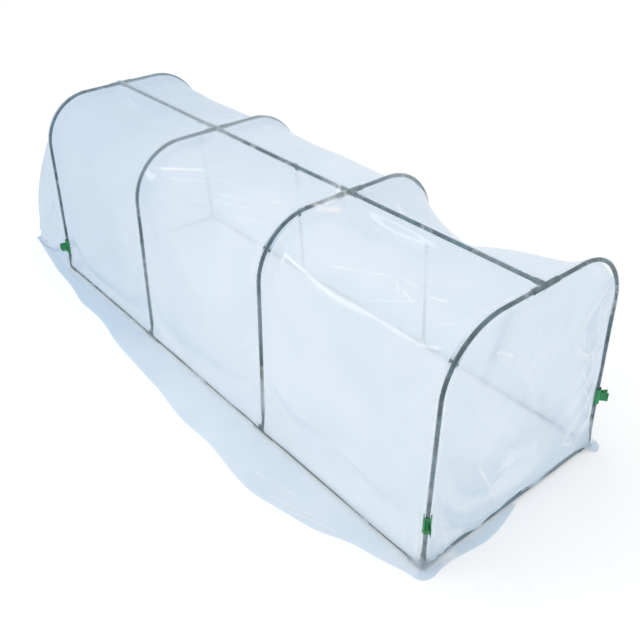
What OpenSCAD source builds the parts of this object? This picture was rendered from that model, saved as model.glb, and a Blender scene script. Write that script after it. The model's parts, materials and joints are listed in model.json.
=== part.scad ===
// Low garden polytunnel: bent tube hoops on a base frame, under a clear film cover.
// X runs along the tunnel with the front end at +X, and left is -Y, as seen facing the front end.

/* [Frame] */
// Distance between the left and right base rails, axis to axis
frame_w = 1000; // [700:1:1500]
// Height of the hoop tops above the ground, on the tube axis
hoop_h = 1003; // [800:1:1400]
// Distance from each hoop to the next
bay_l = 971; // [500:1:1400]
// Inward lean of the hoop legs, in degrees
leg_lean = 2.2; // [0:0.1:6]
// Bend radius of the hoops, on the tube axis
bend_r = 262; // [150:1:320]

/* [Tubes] */
// Outside diameter of the frame tubes
tube_d = 16; // [12:0.5:22]
// Wall of the frame tubes
tube_wall = 0.8; // [0.6:0.1:2]

/* [Connectors] */
// Wall of a connector socket on the rails and hoop tops
socket_wall = 2.8; // [2:0.1:5]
// Wall of a connector socket on the legs and ridge tubes
leg_socket_wall = 2.4; // [1.5:0.1:4.5]
// Clearance between a tube and its socket, all round
socket_gap = 0.2; // [0.1:0.05:0.5]
// Length of the sockets on the rails and hoop tops, from the middle of the joint
run_socket_l = 65; // [40:1:100]
// Length of the sockets on the middle legs and the ridge tubes, from the middle of the joint
post_socket_l = 45; // [35:1:80]
// Distance of a tube's end from the middle of the joint
stop_l = 14; // [13:0.5:25]

/* [Clips] */
// Length of a clip along the leg
clip_l = 76; // [50:1:110]
// Wall of a clip
clip_wall = 2; // [1.5:0.1:4]
// Clearance between a clip and the film under it
clip_gap = 0.3; // [0.1:0.05:1]
// Part of the circle that a clip wraps round the leg, in degrees
clip_wrap = 230; // [200:1:270]
// Length of the two finger tabs, outwards from the clip
tab_l = 30; // [15:1:45]
// Height of the finger tabs along the leg
tab_h = 42; // [20:1:50]
// Distance between the finger tabs at their roots
tab_space = 11; // [6:0.5:11]
// Slant of each finger tab, in degrees
tab_flare = 8; // [0:1:20]
// Turn of the front clips towards the front end, in degrees
front_clip_turn = 45; // [0:1:60]
// Middle of the front left clip, along its leg from the base rail
front_left_clip_at = 220; // [140:1:500]
// Middle of the front right clip, along its leg from the base rail
front_right_clip_at = 271; // [140:1:500]
// Middle of the back clips, along their legs from the base rail
back_clip_at = 136; // [136:1:500]

/* [Cover] */
// Thickness of the film
film_t = 2; // [1.5:0.1:4]
// Clearance between the connectors and the film over them
film_gap = 0.3; // [0.1:0.1:3]
// Where the film leaves the legs to become the skirt, along the leg from the base rail
crease_l = 80; // [50:1:90]
// Width of the flat lip of the skirt that lies on the ground
lip_w = 20; // [10:1:28]
// Width of the side skirts at the back end, from the rail to the hem
skirt_back_w = 80; // [40:1:200]
// Width of the side skirts where they are widest
skirt_peak_w = 250; // [100:1:350]
// Place of the widest skirt, as a part of the way from the back end to the front end
skirt_peak_at = 0.76; // [0.2:0.01:0.9]
// Width of the side skirts at the front corners
skirt_corner_w = 32; // [30:1:80]
// Width of the front skirt at its middle
skirt_front_w = 65; // [40:1:200]
// Sag of the film in each bay, halfway from the ridge to the skirt
bay_sag = 8; // [0:0.5:15]
// Depth of the loose place on the right shoulder of the front bay
loose_sag = 90; // [0:1:120]
// Deepest point of the loose place, as a part of the way along the front bay
loose_at = 0.42; // [0.3:0.01:0.6]
// Deepest point of the loose place round the bend, from the hoop's flat top, in degrees
loose_turn = 25; // [15:1:27]
// Distance from the deepest point to the edge of the loose place, round the hoop
loose_w = 215; // [150:1:220]
// Length of straight film behind the back hoop
tail_start = 30; // [24:1:80]
// Length of the sloping tail behind that, in line with the right rail
tail_l = 610; // [300:1:900]
// Part of that length by which the tail is shorter at its middle
tail_mid_short = 0.1; // [0:0.01:0.3]
// Part of that length by which the tail is shorter in line with the left rail
tail_left_short = 0.22; // [0:0.01:0.4]
// Width of the skirt that is left at the tail's corners
tail_corner_w = 16; // [12:1:40]

/* [Hidden] */
$fn = 72;
HOOPS = ["back", "mid_back", "mid_front", "front"];
BAYS = ["back", "middle", "front"];
SIDES = [-1, 1];
last_hoop = len(HOOPS) - 1;
tube_colour = "#71848a";
connector_colour = "#66777b";
clip_colour = "#1f9a52";
film_colour = [0.85, 0.92, 0.96, 0.5];

// The hoop's centreline: a leaning leg, one bend and half of the flat top
half_w = frame_w / 2;
socket_d = tube_d + 2 * (socket_gap + socket_wall);
leg_socket_d = tube_d + 2 * (socket_gap + leg_socket_wall);
rail_z = socket_d / 2;
leg_l = (hoop_h - rail_z - bend_r * (1 - sin(leg_lean))) / cos(leg_lean);
leg_top = leg_point(leg_l, 0);
bend_y = leg_top[0] - bend_r * cos(leg_lean);
bend_z = leg_top[1] - bend_r * sin(leg_lean);
film_in = socket_d / 2 + film_gap;
film_out = film_in + film_t;
crease = leg_point(crease_l, 0);

// How far the straight runs of a swept hoop reach into its bend, and how much larger that is
bend_lap = 0.5;
bend_grow = 0.02;

// How far the film rolled round the front hoop reaches down the front panel, the panel's
// step inside it, and the gap of both above the skirt
edge_tuck = 6;
panel_step = 0.1;
panel_gap = 0.3;

// The tail is longer than the front skirt, so the frame stands forward of the middle
tail_reach = tail_start + tail_l + film_t;
back_x = (tail_reach - skirt_front_w - last_hoop * bay_l) / 2;
front_x = hoop_x(last_hoop);
film_back_x = back_x - tail_start;

clip_in_r = film_out + clip_gap;
clip_out_r = clip_in_r + clip_wall;
clip_lip_r = 0.8 * clip_wall;
lip_turn = 20;

// Steps of the lofted film
BAY_STEPS = [4, 4, 8];
leg_steps = 4;
top_steps = 4;
skirt_steps = 18;
front_steps = 10;
corner_steps = 5;
flare_steps = 4;
arc_steps = 12;
tail_steps = 10;

NODES = concat(
  [for (i = [0 : last_hoop], s = SIDES) hoop_node(i, s)],
  [for (i = [0 : last_hoop - 1]) ridge_node(i)],
  [for (i = [0 : last_hoop - 1], s = SIDES) rail_node(i, s)],
  ["back_end_rail", "front_end_rail"],
  [for (i = [0 : last_hoop]) ridge_joint_node(i)],
  [for (i = [0 : last_hoop], s = SIDES) foot_node(i, s)],
  [for (i = [0, last_hoop], s = SIDES) clip_node(i, s)],
  ["cover_vault", "cover_front_end", "cover_back_tail"],
  ["left_skirt", "right_skirt", "front_skirt"]
);
node = "all";

function side_name(s) = s < 0 ? "left" : "right";
function is_end(i) = i == 0 || i == last_hoop;
function hoop_node(i, s) = str(HOOPS[i], "_hoop_", side_name(s));
function ridge_node(i) = str("ridge_tube_", BAYS[i]);
function rail_node(i, s) = str(side_name(s), "_rail_", BAYS[i]);
function ridge_joint_node(i) = str("ridge_", is_end(i) ? "tee_" : "cross_", HOOPS[i]);
function foot_node(i, s) = str(is_end(i) ? "corner_" : "foot_tee_", HOOPS[i], "_", side_name(s));
function clip_node(i, s) = str("clip_", HOOPS[i], "_", side_name(s));
function wanted(name) = node == "all" || node == name;

function hoop_x(i) = back_x + i * bay_l;

// Point [y, z] at a distance along a right leg and off its axis
function leg_point(along, off) = [
  half_w - along * sin(leg_lean) + off * cos(leg_lean),
  rail_z + along * cos(leg_lean) + off * sin(leg_lean)
];

function mix(a, b, t) = a + (b - a) * t;

// Sweeps a section along one right half of a hoop. The section's x is the tunnel's X and
// its y points out of the hoop. It starts some way up the leg and ends short of the ridge.
// The first child is the section of the straight runs, and the second that of the bend,
// a hair larger so that the runs end inside it.
module along_half_hoop(leg_from, top_to) {
  union() {
    translate([0, half_w, rail_z])
      rotate([leg_lean, 0, 0])
        translate([0, 0, leg_from])
          linear_extrude(leg_l + bend_lap - leg_from)
            children(0);
    translate([0, bend_y, bend_z])
      rotate([90, 0, 90])
        rotate([0, 0, leg_lean])
          rotate_extrude(angle = 90 - leg_lean)
            translate([bend_r, 0])
              mirror([1, -1, 0])
                children(1);
    translate([0, bend_y + bend_lap, hoop_h])
      rotate([90, 0, 0])
        linear_extrude(bend_y + bend_lap - top_to)
          children(0);
  }
}

// Places a shape on a leg, with +Z up the leg and +Y out of the tunnel
module on_leg(i, s, along) {
  mirror([0, s < 0 ? 1 : 0, 0])
    translate([hoop_x(i), half_w, rail_z])
      rotate([leg_lean, 0, 0])
        translate([0, 0, along])
          children();
}

module tube_section(grow = 0) {
  difference() {
    circle(d = tube_d + 2 * grow);
    circle(d = tube_d - 2 * tube_wall - 2 * grow);
  }
}

// Straight tube along +Z between two joints, seated on the stops of both
module tube_between_joints(span) {
  color(tube_colour)
    translate([0, 0, stop_l])
      linear_extrude(span - 2 * stop_l)
        tube_section();
}

module half_hoop(i, s) {
  color(tube_colour)
    mirror([0, s < 0 ? 1 : 0, 0])
      translate([hoop_x(i), 0, 0])
        along_half_hoop(stop_l, stop_l) {
          tube_section();
          tube_section(bend_grow);
        }
}

module ridge_tube(i) {
  translate([hoop_x(i), 0, hoop_h])
    rotate([0, 90, 0])
      tube_between_joints(bay_l);
}

module side_rail(i, s) {
  translate([hoop_x(i), s * half_w, rail_z])
    rotate([0, 90, 0])
      tube_between_joints(bay_l);
}

module end_rail(i) {
  translate([hoop_x(i), half_w, rail_z])
    rotate([90, 0, 0])
      tube_between_joints(frame_w);
}

// Moulded joint of round sockets. Each arm is [turn, length, diameter] from the middle.
module joint(arms) {
  color(connector_colour)
    difference() {
      union() {
        sphere(d = leg_socket_d);
        for (arm = arms)
          rotate(arm[0])
            cylinder(d = arm[2], h = arm[1]);
      }
      for (arm = arms)
        rotate(arm[0])
          translate([0, 0, stop_l])
            cylinder(d = tube_d + 2 * socket_gap, h = arm[1]);
    }
}

// Turns of an arm that points along or against X, or along Y
function along_x(way) = [0, 90 * way, 0];
function along_y(way) = [-90 * way, 0, 0];

module ridge_joint(i) {
  ways = i == 0 ? [1] : i == last_hoop ? [-1] : [-1, 1];
  translate([hoop_x(i), 0, hoop_h])
    joint(concat(
      [for (s = SIDES) [along_y(s), run_socket_l, socket_d]],
      [for (way = ways) [along_x(way), post_socket_l, leg_socket_d]]
    ));
}

module corner_foot(i, s) {
  translate([hoop_x(i), s * half_w, rail_z])
    joint([
      [[s * leg_lean, 0, 0], run_socket_l, leg_socket_d],
      [along_y(-s), run_socket_l, socket_d],
      [along_x(i == 0 ? 1 : -1), run_socket_l, socket_d]
    ]);
}

module tee_foot(i, s) {
  translate([hoop_x(i), s * half_w, rail_z])
    joint([
      [[s * leg_lean, 0, 0], post_socket_l, leg_socket_d],
      [along_x(1), run_socket_l, socket_d],
      [along_x(-1), run_socket_l, socket_d]
    ]);
}

// Wedge of a full circle that is centred on -Y
module mouth_wedge(angle, reach) {
  polygon([
    [0, 0],
    [reach * sin(angle / 2), -reach * cos(angle / 2)],
    [-reach * sin(angle / 2), -reach * cos(angle / 2)]
  ]);
}

module ring_part(inner_r, outer_r, wrap) {
  difference() {
    circle(r = outer_r);
    circle(r = inner_r);
    mouth_wedge(360 - wrap, 4 * outer_r);
  }
}

// Snap clip with its mouth towards -Y, rolled lips and two finger tabs towards +Y
module clip() {
  mid_r = (clip_in_r + clip_out_r) / 2;
  color(clip_colour) {
    translate([0, 0, -clip_l / 2])
      linear_extrude(clip_l) {
        ring_part(clip_in_r, clip_out_r, clip_wrap);
        for (s = SIDES)
          rotate(s * clip_wrap / 2)
            translate([0, mid_r])
              circle(r = clip_lip_r);
      }
    translate([0, 0, -tab_h / 2])
      linear_extrude(tab_h)
        for (s = SIDES)
          difference() {
            translate([s * tab_space / 2, 0])
              rotate(-s * tab_flare)
                translate([-clip_wall / 2, 0])
                  square([clip_wall, clip_out_r + tab_l]);
            circle(r = clip_out_r - clip_wall / 4);
          }
  }
}

// Room that a clip's wall and rolled lips take in the film, which it nips round the leg
module clip_room() {
  translate([0, 0, -clip_l / 2 - clip_gap])
    linear_extrude(clip_l + 2 * clip_gap)
      ring_part(clip_in_r - clip_gap / 2, clip_out_r + clip_lip_r, clip_wrap + lip_turn);
}

module at_clip(i, s) {
  along = i == 0 ? back_clip_at : s < 0 ? front_left_clip_at : front_right_clip_at;
  turn = i == 0 ? 0 : -front_clip_turn;
  on_leg(i, s, along)
    rotate(turn)
      children();
}

// Length of a hoop's bend along the tube's axis, for part of its turn in degrees
function bend_run(turn) = bend_r * turn * PI / 180;

// Points round the film's bend over a hoop, from the leg to the flat top, as
// [y, z, outward y, outward z, distance from the ridge along the hoop]
film_bend = [
  for (k = [0 : arc_steps])
    let (a = mix(leg_lean, 90, k / arc_steps), r = bend_r + film_in)
      [bend_y + r * cos(a), bend_z + r * sin(a), cos(a), sin(a), bend_y + bend_run(90 - a)]
];
film_ridge = [0, hoop_h + film_in, 0, 1, 0];
leg_away = bend_y + bend_run(90 - leg_lean);

// Half of the vault's cross-section over a hoop, from the skirt to the ridge
vault_half = concat(
  [
    for (k = [0 : leg_steps - 1])
      let (along = mix(crease_l, leg_l, k / leg_steps), p = leg_point(along, film_in))
        [p[0], p[1], cos(leg_lean), sin(leg_lean), leg_away + leg_l - along]
  ],
  film_bend,
  [
    for (k = [1 : top_steps - 1])
      let (y = bend_y * (1 - k / top_steps)) [y, hoop_h + film_in, 0, 1, y]
  ]
);
vault_l = leg_away + leg_l - crease_l;
loose_away = bend_y + bend_run(loose_turn);

// 1 at 0, falling smoothly to 0 at 1 and -1
function swell(t) = abs(t) < 1 ? (1 + cos(180 * t)) / 2 : 0;

// How far the film hangs inside the line of the hoops, part of the way along a bay
function vault_sag(p, s, bay, part) =
  bay_sag * sin(180 * part) * sin(180 * p[4] / vault_l)
  + (s > 0 && bay == last_hoop - 1 ? loose_sag : 0)
  * swell((part - loose_at) / (part < loose_at ? loose_at : 1 - loose_at))
  * swell((p[4] - loose_away) / loose_w);

function vault_point(p, s, x, bay, part, off) =
  let (out = off - vault_sag(p, s, bay, part))
    [x, s * (p[0] + out * p[2]), p[1] + out * p[3]];

function vault_row(x, bay, part, off) = concat(
  [for (p = vault_half) vault_point(p, -1, x, bay, part, off)],
  [vault_point(film_ridge, 1, x, bay, part, off)],
  [for (p = reversed(vault_half)) vault_point(p, 1, x, bay, part, off)]
);

// Film over the hoops, from skirt to skirt, held by the hoops and slack between them
module cover_vault() {
  stations = concat(
    [[film_back_x, 0, 0]],
    [
      for (i = [0 : last_hoop - 1], k = [0 : BAY_STEPS[i] - 1])
        let (part = k / BAY_STEPS[i]) [hoop_x(i + part), i, part]
    ],
    [[front_x, last_hoop - 1, 1]]
  );
  rings = [
    for (p = reversed(stations))
      concat(
        vault_row(p[0], p[1], p[2], 0),
        reversed(vault_row(p[0], p[1], p[2], film_t))
      )
  ];
  color(film_colour)
    difference() {
      loft(rings);
      for (i = [0, last_hoop], s = SIDES)
        at_clip(i, s)
          clip_room();
    }
}

// Area above the skirt that is some way inside a hoop's centreline
module hoop_area(inset) {
  top = leg_point(leg_l, -inset);
  low = leg_point(crease_l + 2 * panel_gap, -inset);
  polygon([[-top[0], top[1]], top, low, [-low[0], low[1]]]);
  for (s = SIDES)
    translate([s * bend_y, bend_z])
      circle(r = bend_r - inset);
  translate([-bend_y, bend_z])
    square([2 * bend_y, bend_r - inset]);
}

// Quarter ring of film round the front hoop's tube, with a flat edge down the front
module corner_section(grow = 0) {
  translate([front_x, 0]) {
    intersection() {
      difference() {
        circle(r = film_out + grow);
        circle(r = film_in - grow);
      }
      square(2 * film_out);
    }
    translate([film_in - grow, -edge_tuck - grow])
      square([film_t + 2 * grow, edge_tuck + grow]);
  }
}

// Film across the front hoop, rolled round the hoop's tube to meet the vault
module cover_front_end() {
  color(film_colour)
    difference() {
      union() {
        translate([front_x + film_in + panel_step, 0, 0])
          rotate([90, 0, 90])
            linear_extrude(film_t - 2 * panel_step)
              hoop_area(edge_tuck / 2);
        for (s = SIDES)
          mirror([0, s < 0 ? 1 : 0, 0])
            along_half_hoop(crease_l + panel_gap, 0) {
              corner_section();
              corner_section(bend_grow);
            }
      }
      for (s = SIDES)
        at_clip(last_hoop, s)
          clip_room();
    }
}

// Closed skin over a list of rings of points. A ring runs along the inner face and back
// along the outer face, so each end is closed by a strip between the two.
module loft(rings) {
  n = len(rings[0]);
  last = (len(rings) - 1) * n;
  sides = [
    for (r = [0 : len(rings) - 2], i = [0 : n - 1])
      let (a = r * n + i, b = r * n + (i + 1) % n)
        each [[a, a + n, b + n], [a, b + n, b]]
  ];
  ends = [
    for (i = [0 : n / 2 - 2])
      let (j = n - 1 - i)
        each [
          [i, i + 1, j - 1], [i, j - 1, j],
          [last + i, last + j - 1, last + i + 1], [last + i, last + j, last + j - 1]
        ]
  ];
  polyhedron(points = [for (ring = rings) each ring], faces = concat(sides, ends));
}

function reversed(list) = [for (i = [len(list) - 1 : -1 : 0]) list[i]];

// One cross-section of the skirt. The film leaves the frame at the crease above the foot
// [x, y], sweeps out to the ground and ends in a flat lip. The turn is 0 on a side and 90
// at the front end.
function skirt_ring(foot, crease_y, s, turn, w) = let (
  way = [sin(turn), s * cos(turn)],
  lean = leg_lean * cos(turn),
  top = [foot[0] + film_in * way[0], crease_y + film_in * way[1] * cos(leg_lean)],
  top_z = crease[1] + film_in * sin(lean),
  lip = foot + (w - lip_w) * way,
  inner = [
    for (t = [0 : 1 / flare_steps : 1])
      let (p = mix(top, lip, t)) [p[0], p[1], top_z * (1 - t) * (1 - t)]
  ],
  hem = foot + w * way,
  outer = [
    for (k = [0 : flare_steps])
      let (rise = mix(lean, 90, k / flare_steps))
        inner[k] + film_t * [way[0] * cos(rise), way[1] * cos(rise), sin(rise)]
  ]
) concat(
  inner,
  [[hem[0], hem[1], 0], [hem[0], hem[1], film_t]],
  reversed(outer)
);

// Width of a side skirt, part of the way from the back end to the front end
function side_skirt_w(part) = part < skirt_peak_at
  ? mix(skirt_back_w, skirt_peak_w, sin(90 * part / skirt_peak_at))
  : mix(skirt_corner_w, skirt_peak_w, cos(90 * (part - skirt_peak_at) / (1 - skirt_peak_at)));

module side_skirt(s) {
  rings = [
    for (k = [0 : skirt_steps])
      let (part = k / skirt_steps)
        skirt_ring(
          [mix(film_back_x, front_x, part), half_w], crease[0], 1, 0, side_skirt_w(part)
        )
  ];
  color(film_colour)
    mirror([0, s < 0 ? 1 : 0, 0])
      loft(rings);
}

// Skirt round the front corners and across the front end
module front_skirt() {
  corner = [
    for (k = [0 : corner_steps - 1])
      skirt_ring([front_x, -half_w], -crease[0], -1, 90 * k / corner_steps, skirt_corner_w)
  ];
  front = [
    for (k = [0 : front_steps])
      let (part = k / front_steps)
        skirt_ring(
          [front_x, mix(-half_w, half_w, part)], mix(-crease[0], crease[0], part), 1, 90,
          mix(skirt_corner_w, skirt_front_w, sin(180 * part))
        )
  ];
  far_corner = [
    for (k = [corner_steps - 1 : -1 : 0])
      skirt_ring([front_x, half_w], crease[0], 1, 90 * k / corner_steps, skirt_corner_w)
  ];
  color(film_colour)
    loft(concat(corner, front, far_corner));
}

// Half of the tail's cross-section at the back hoop, from the hem to the ridge
tail_half = concat(
  [[half_w + skirt_back_w, 0, 0, 1]],
  [
    for (k = [flare_steps : -1 : 0])
      let (
        t = k / flare_steps,
        top = leg_point(crease_l, film_in),
        rise = mix(leg_lean, 90, t)
      )
        [
          mix(top[0], half_w + skirt_back_w - lip_w, t), top[1] * (1 - t) * (1 - t),
          cos(rise), sin(rise)
        ]
  ],
  film_bend
);

// Length of the tail at a place across it, by a curve through its three lengths
function tail_length(y) = let (
  t = max(-1, min(1, y / half_w)),
  short = tail_mid_short - tail_left_short / 2 * t + (tail_left_short / 2 - tail_mid_short) * t * t
) tail_l * (1 - short);

// Place across the tail, where the skirts narrow to its corners
function tail_y(y, fall) =
  y - max(0, y - half_w) * (1 - tail_corner_w / skirt_back_w) * pow(sin(fall), 2);

// A point of the tail, on its inner face or a thickness outside it. Each section is the one
// at the back hoop pressed down towards the ground.
function tail_point(p, s, fall, off) = [
  film_back_x - (tail_length(s * p[0]) + off) * pow(sin(fall), 2),
  s * (tail_y(p[0], fall) + off * p[2]),
  p[1] * cos(fall) + off * p[3]
];

function tail_row(fall, off) = concat(
  [for (p = tail_half) tail_point(p, -1, fall, off)],
  [tail_point(film_ridge, 1, fall, off)],
  [for (p = reversed(tail_half)) tail_point(p, 1, fall, off)]
);

// Film that slopes from the back hoop to the ground
module cover_back_tail() {
  rings = [
    for (k = [0 : tail_steps])
      let (fall = 90 * k / tail_steps)
        concat(tail_row(fall, 0), reversed(tail_row(fall, film_t)))
  ];
  color(film_colour)
    loft(rings);
}

for (i = [0 : last_hoop], s = SIDES)
  if (wanted(hoop_node(i, s))) half_hoop(i, s);
for (i = [0 : last_hoop - 1])
  if (wanted(ridge_node(i))) ridge_tube(i);
for (i = [0 : last_hoop - 1], s = SIDES)
  if (wanted(rail_node(i, s))) side_rail(i, s);
if (wanted("back_end_rail")) end_rail(0);
if (wanted("front_end_rail")) end_rail(last_hoop);
for (i = [0 : last_hoop])
  if (wanted(ridge_joint_node(i))) ridge_joint(i);
for (i = [0, last_hoop], s = SIDES)
  if (wanted(foot_node(i, s))) corner_foot(i, s);
for (i = [1 : last_hoop - 1], s = SIDES)
  if (wanted(foot_node(i, s))) tee_foot(i, s);
for (i = [0, last_hoop], s = SIDES)
  if (wanted(clip_node(i, s))) at_clip(i, s) clip();
if (wanted("cover_vault")) cover_vault();
if (wanted("cover_front_end")) cover_front_end();
if (wanted("cover_back_tail")) cover_back_tail();
if (wanted("left_skirt")) side_skirt(-1);
if (wanted("right_skirt")) side_skirt(1);
if (wanted("front_skirt")) front_skirt();
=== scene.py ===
# Low garden polytunnel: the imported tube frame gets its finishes, and the film cover is
# draped over it as one loose sheet.
import json
import math

import bpy
import numpy as np
from mathutils import Matrix, Vector
from mathutils.kdtree import KDTree


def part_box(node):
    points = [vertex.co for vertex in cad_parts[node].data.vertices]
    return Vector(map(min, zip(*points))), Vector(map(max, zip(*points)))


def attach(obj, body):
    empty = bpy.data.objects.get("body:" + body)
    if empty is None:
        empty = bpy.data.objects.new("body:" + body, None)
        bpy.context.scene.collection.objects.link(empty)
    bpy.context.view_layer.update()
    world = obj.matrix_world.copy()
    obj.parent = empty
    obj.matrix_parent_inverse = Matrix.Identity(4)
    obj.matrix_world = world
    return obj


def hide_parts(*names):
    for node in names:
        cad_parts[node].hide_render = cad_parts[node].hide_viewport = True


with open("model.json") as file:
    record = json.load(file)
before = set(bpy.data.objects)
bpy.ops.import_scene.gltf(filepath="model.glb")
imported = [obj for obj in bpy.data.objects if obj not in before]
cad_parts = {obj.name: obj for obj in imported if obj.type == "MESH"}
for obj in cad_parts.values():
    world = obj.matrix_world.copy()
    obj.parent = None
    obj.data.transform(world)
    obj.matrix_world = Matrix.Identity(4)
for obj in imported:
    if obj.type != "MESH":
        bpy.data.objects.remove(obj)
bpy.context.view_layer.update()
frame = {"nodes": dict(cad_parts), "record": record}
nodes = frame["nodes"]
scene = bpy.context.scene
scene.view_settings.view_transform = "Standard"
print("frame loaded,", len(nodes), "nodes")


# shader helpers

class Wire:
    # one output socket; sums on it add Math nodes
    def __init__(self, finish, socket):
        self.finish = finish
        self.socket = socket

    def maths(self, operation, *values):
        return self.finish.node("ShaderNodeMath", {"operation": operation}, dict(enumerate(values)))

    def __add__(self, other):
        return self.maths("ADD", self, other)

    __radd__ = __add__

    def __sub__(self, other):
        return self.maths("SUBTRACT", self, other)

    def __rsub__(self, other):
        return self.maths("SUBTRACT", other, self)

    def __mul__(self, other):
        return self.maths("MULTIPLY", self, other)

    __rmul__ = __mul__

    def __truediv__(self, other):
        return self.maths("DIVIDE", self, other)

    def __rtruediv__(self, other):
        return self.maths("DIVIDE", other, self)

    def __pow__(self, other):
        return self.maths("POWER", self, other)

    def __abs__(self):
        return self.maths("ABSOLUTE", self)

    def atLeast(self, other):
        return self.maths("MAXIMUM", self, other)

    def atMost(self, other):
        return self.maths("MINIMUM", self, other)

    # 0 below low, 1 above high, smooth between
    def rise(self, low, high):
        return self.finish.node(
            "ShaderNodeMapRange", {"interpolation_type": "SMOOTHSTEP"},
            {"Value": self, "From Min": low, "From Max": high})


class Finish:
    # a material, or the world that is handed over
    def __init__(self, name, world=None):
        self.material = world or bpy.data.materials.new(name)
        self.material.use_nodes = True
        self.tree = self.material.node_tree
        self.tree.nodes.clear()

    # settings are set before the sockets
    def node(self, kind, settings=None, sockets=None, out=0):
        made = self.tree.nodes.new(kind)
        for name, value in (settings or {}).items():
            setattr(made, name, value)
        for name, value in (sockets or {}).items():
            if isinstance(value, Wire):
                self.tree.links.new(value.socket, made.inputs[name])
            else:
                made.inputs[name].default_value = value
        return Wire(self, made.outputs[out]) if made.outputs else None

    def place(self, scale=(1, 1, 1)):
        spot = self.node("ShaderNodeTexCoord", out=3)
        return self.node("ShaderNodeVectorMath", {"operation": "MULTIPLY"}, {0: spot, 1: scale})

    def noise(self, scale, detail=2.0, rough=0.5, stretch=(1, 1, 1), bend=0.0):
        return self.node("ShaderNodeTexNoise", None, {
            "Vector": self.place(stretch), "Scale": scale, "Detail": detail,
            "Roughness": rough, "Distortion": bend})

    def stored(self, name):
        return self.node("ShaderNodeAttribute", {"attribute_name": name}, out=2)

    def mixed(self, share, first, second):
        return self.node("ShaderNodeMix", {"data_type": "RGBA"}, {0: share, 6: first, 7: second}, out=2)

    def bump(self, height, distance, strength=1.0):
        return self.node("ShaderNodeBump", None, {
            "Height": height, "Distance": distance, "Strength": strength})

    # 1 for rays from the camera, in a gloss or through glass
    def seen(self):
        rays = self.node("ShaderNodeLightPath").socket.node.outputs
        return sum(Wire(self, rays["Is " + ray + " Ray"]) for ray in ("Camera", "Glossy", "Transmission"))

    def close(self, sockets):
        surface = self.node("ShaderNodeBsdfPrincipled", None, sockets)
        self.node("ShaderNodeOutputMaterial", None, {"Surface": surface})
        return self.material


def colour(red, green, blue):
    return (red, green, blue, 1.0)


# coated steel tubes

tubeLook = dict(
    coat=colour(0.036, 0.076, 0.090),
    coatPale=colour(0.105, 0.195, 0.230),
    rub=colour(0.34, 0.41, 0.43),       # where the coat is rubbed
    roughness=0.30,
    rubAmount=0.55,
    cloudScale=13, speckScale=420, scuffScale=55,
    relief=0.0002,
)


def coatedTube():
    finish = Finish("coated_tube")
    cloud = finish.noise(tubeLook["cloudScale"], 3, 0.55)
    speck = finish.noise(tubeLook["speckScale"], 2, 0.6)
    scuff = finish.noise(tubeLook["scuffScale"], 4, 0.65, (0.35, 1, 1), 0.4)
    rubbed = scuff.rise(0.62, 0.76) * tubeLook["rubAmount"]
    base = finish.mixed(cloud.rise(0.40, 0.64), tubeLook["coat"], tubeLook["coatPale"])
    base = finish.mixed(rubbed, base, tubeLook["rub"])
    rough = tubeLook["roughness"] + (cloud - 0.5) * 0.16 + speck * 0.06 - rubbed * 0.1
    return finish.close({
        "Base Color": base, "Roughness": rough, "Metallic": 0.0, "IOR": 1.55,
        "Coat Weight": 0.2, "Coat Roughness": 0.12,
        "Normal": finish.bump(speck * 0.5 + scuff * 0.5, tubeLook["relief"], 0.6)})


# moulded joints

jointLook = dict(
    body=colour(0.080, 0.128, 0.140),
    worn=colour(0.175, 0.245, 0.262),
    roughness=0.40,
    cloudScale=18, grainScale=900,
    relief=0.0002,
)


def mouldedJoint():
    finish = Finish("moulded_joint")
    cloud = finish.noise(jointLook["cloudScale"], 3, 0.5)
    grain = finish.noise(jointLook["grainScale"], 1, 0.5)
    base = finish.mixed(cloud.rise(0.35, 0.75), jointLook["body"], jointLook["worn"])
    rough = jointLook["roughness"] + (grain - 0.5) * 0.2
    return finish.close({
        "Base Color": base, "Roughness": rough, "IOR": 1.5,
        "Normal": finish.bump(grain, jointLook["relief"], 0.5)})


# green clips

clipLook = dict(
    deep=colour(0.004, 0.165, 0.045),
    light=colour(0.018, 0.330, 0.105),
    roughness=0.27,
    flowScale=46, grainScale=700,
    relief=0.0003,
)


def glossyClip():
    finish = Finish("glossy_clip")
    flow = finish.noise(clipLook["flowScale"], 3, 0.55, (1, 1, 0.3), 0.8)
    grain = finish.noise(clipLook["grainScale"], 2, 0.5)
    base = finish.mixed(flow.rise(0.3, 0.72), clipLook["deep"], clipLook["light"])
    rough = clipLook["roughness"] + (flow - 0.5) * 0.14 + grain * 0.06
    return finish.close({
        "Base Color": base, "Roughness": rough, "IOR": 1.5,
        "Normal": finish.bump(grain * 0.4 + flow * 0.6, clipLook["relief"], 0.5)})


finishes = dict(
    coated_tube=coatedTube(),
    connector_plastic=mouldedJoint(),
    clip_plastic=glossyClip(),
)
for part in frame["record"]["subparts"]:
    if part["material_slot"] in finishes:
        mesh = nodes[part["node"]].data
        mesh.materials.clear()
        mesh.materials.append(finishes[part["material_slot"]])
print("tubes, joints and clips finished")


# lines of the frame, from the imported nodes

hoopNames = ["back", "mid_back", "mid_front", "front"]
hoopShape = dict(bendRadius=0.262, leanDegrees=2.2)     # as in the part's source


def middle(node):
    low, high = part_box(node)
    return (low + high) / 2


hoopX = [middle(name + "_hoop_left").x for name in hoopNames]
ridgeMiddle = middle("ridge_tube_middle")
railMiddle = middle("left_rail_middle")
ridgeZ = ridgeMiddle.z
railZ = railMiddle.z
halfWidth = -railMiddle.y
lean = math.radians(hoopShape["leanDegrees"])
bendRadius = hoopShape["bendRadius"]
bendTurn = math.pi / 2 - lean
legLength = (ridgeZ - railZ - bendRadius * (1 - math.sin(lean))) / math.cos(lean)
bendY = halfWidth - legLength * math.sin(lean) - bendRadius * math.cos(lean)
bendZ = ridgeZ - bendRadius
legTop = bendY + bendRadius * bendTurn      # along the hoop from the ridge


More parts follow.
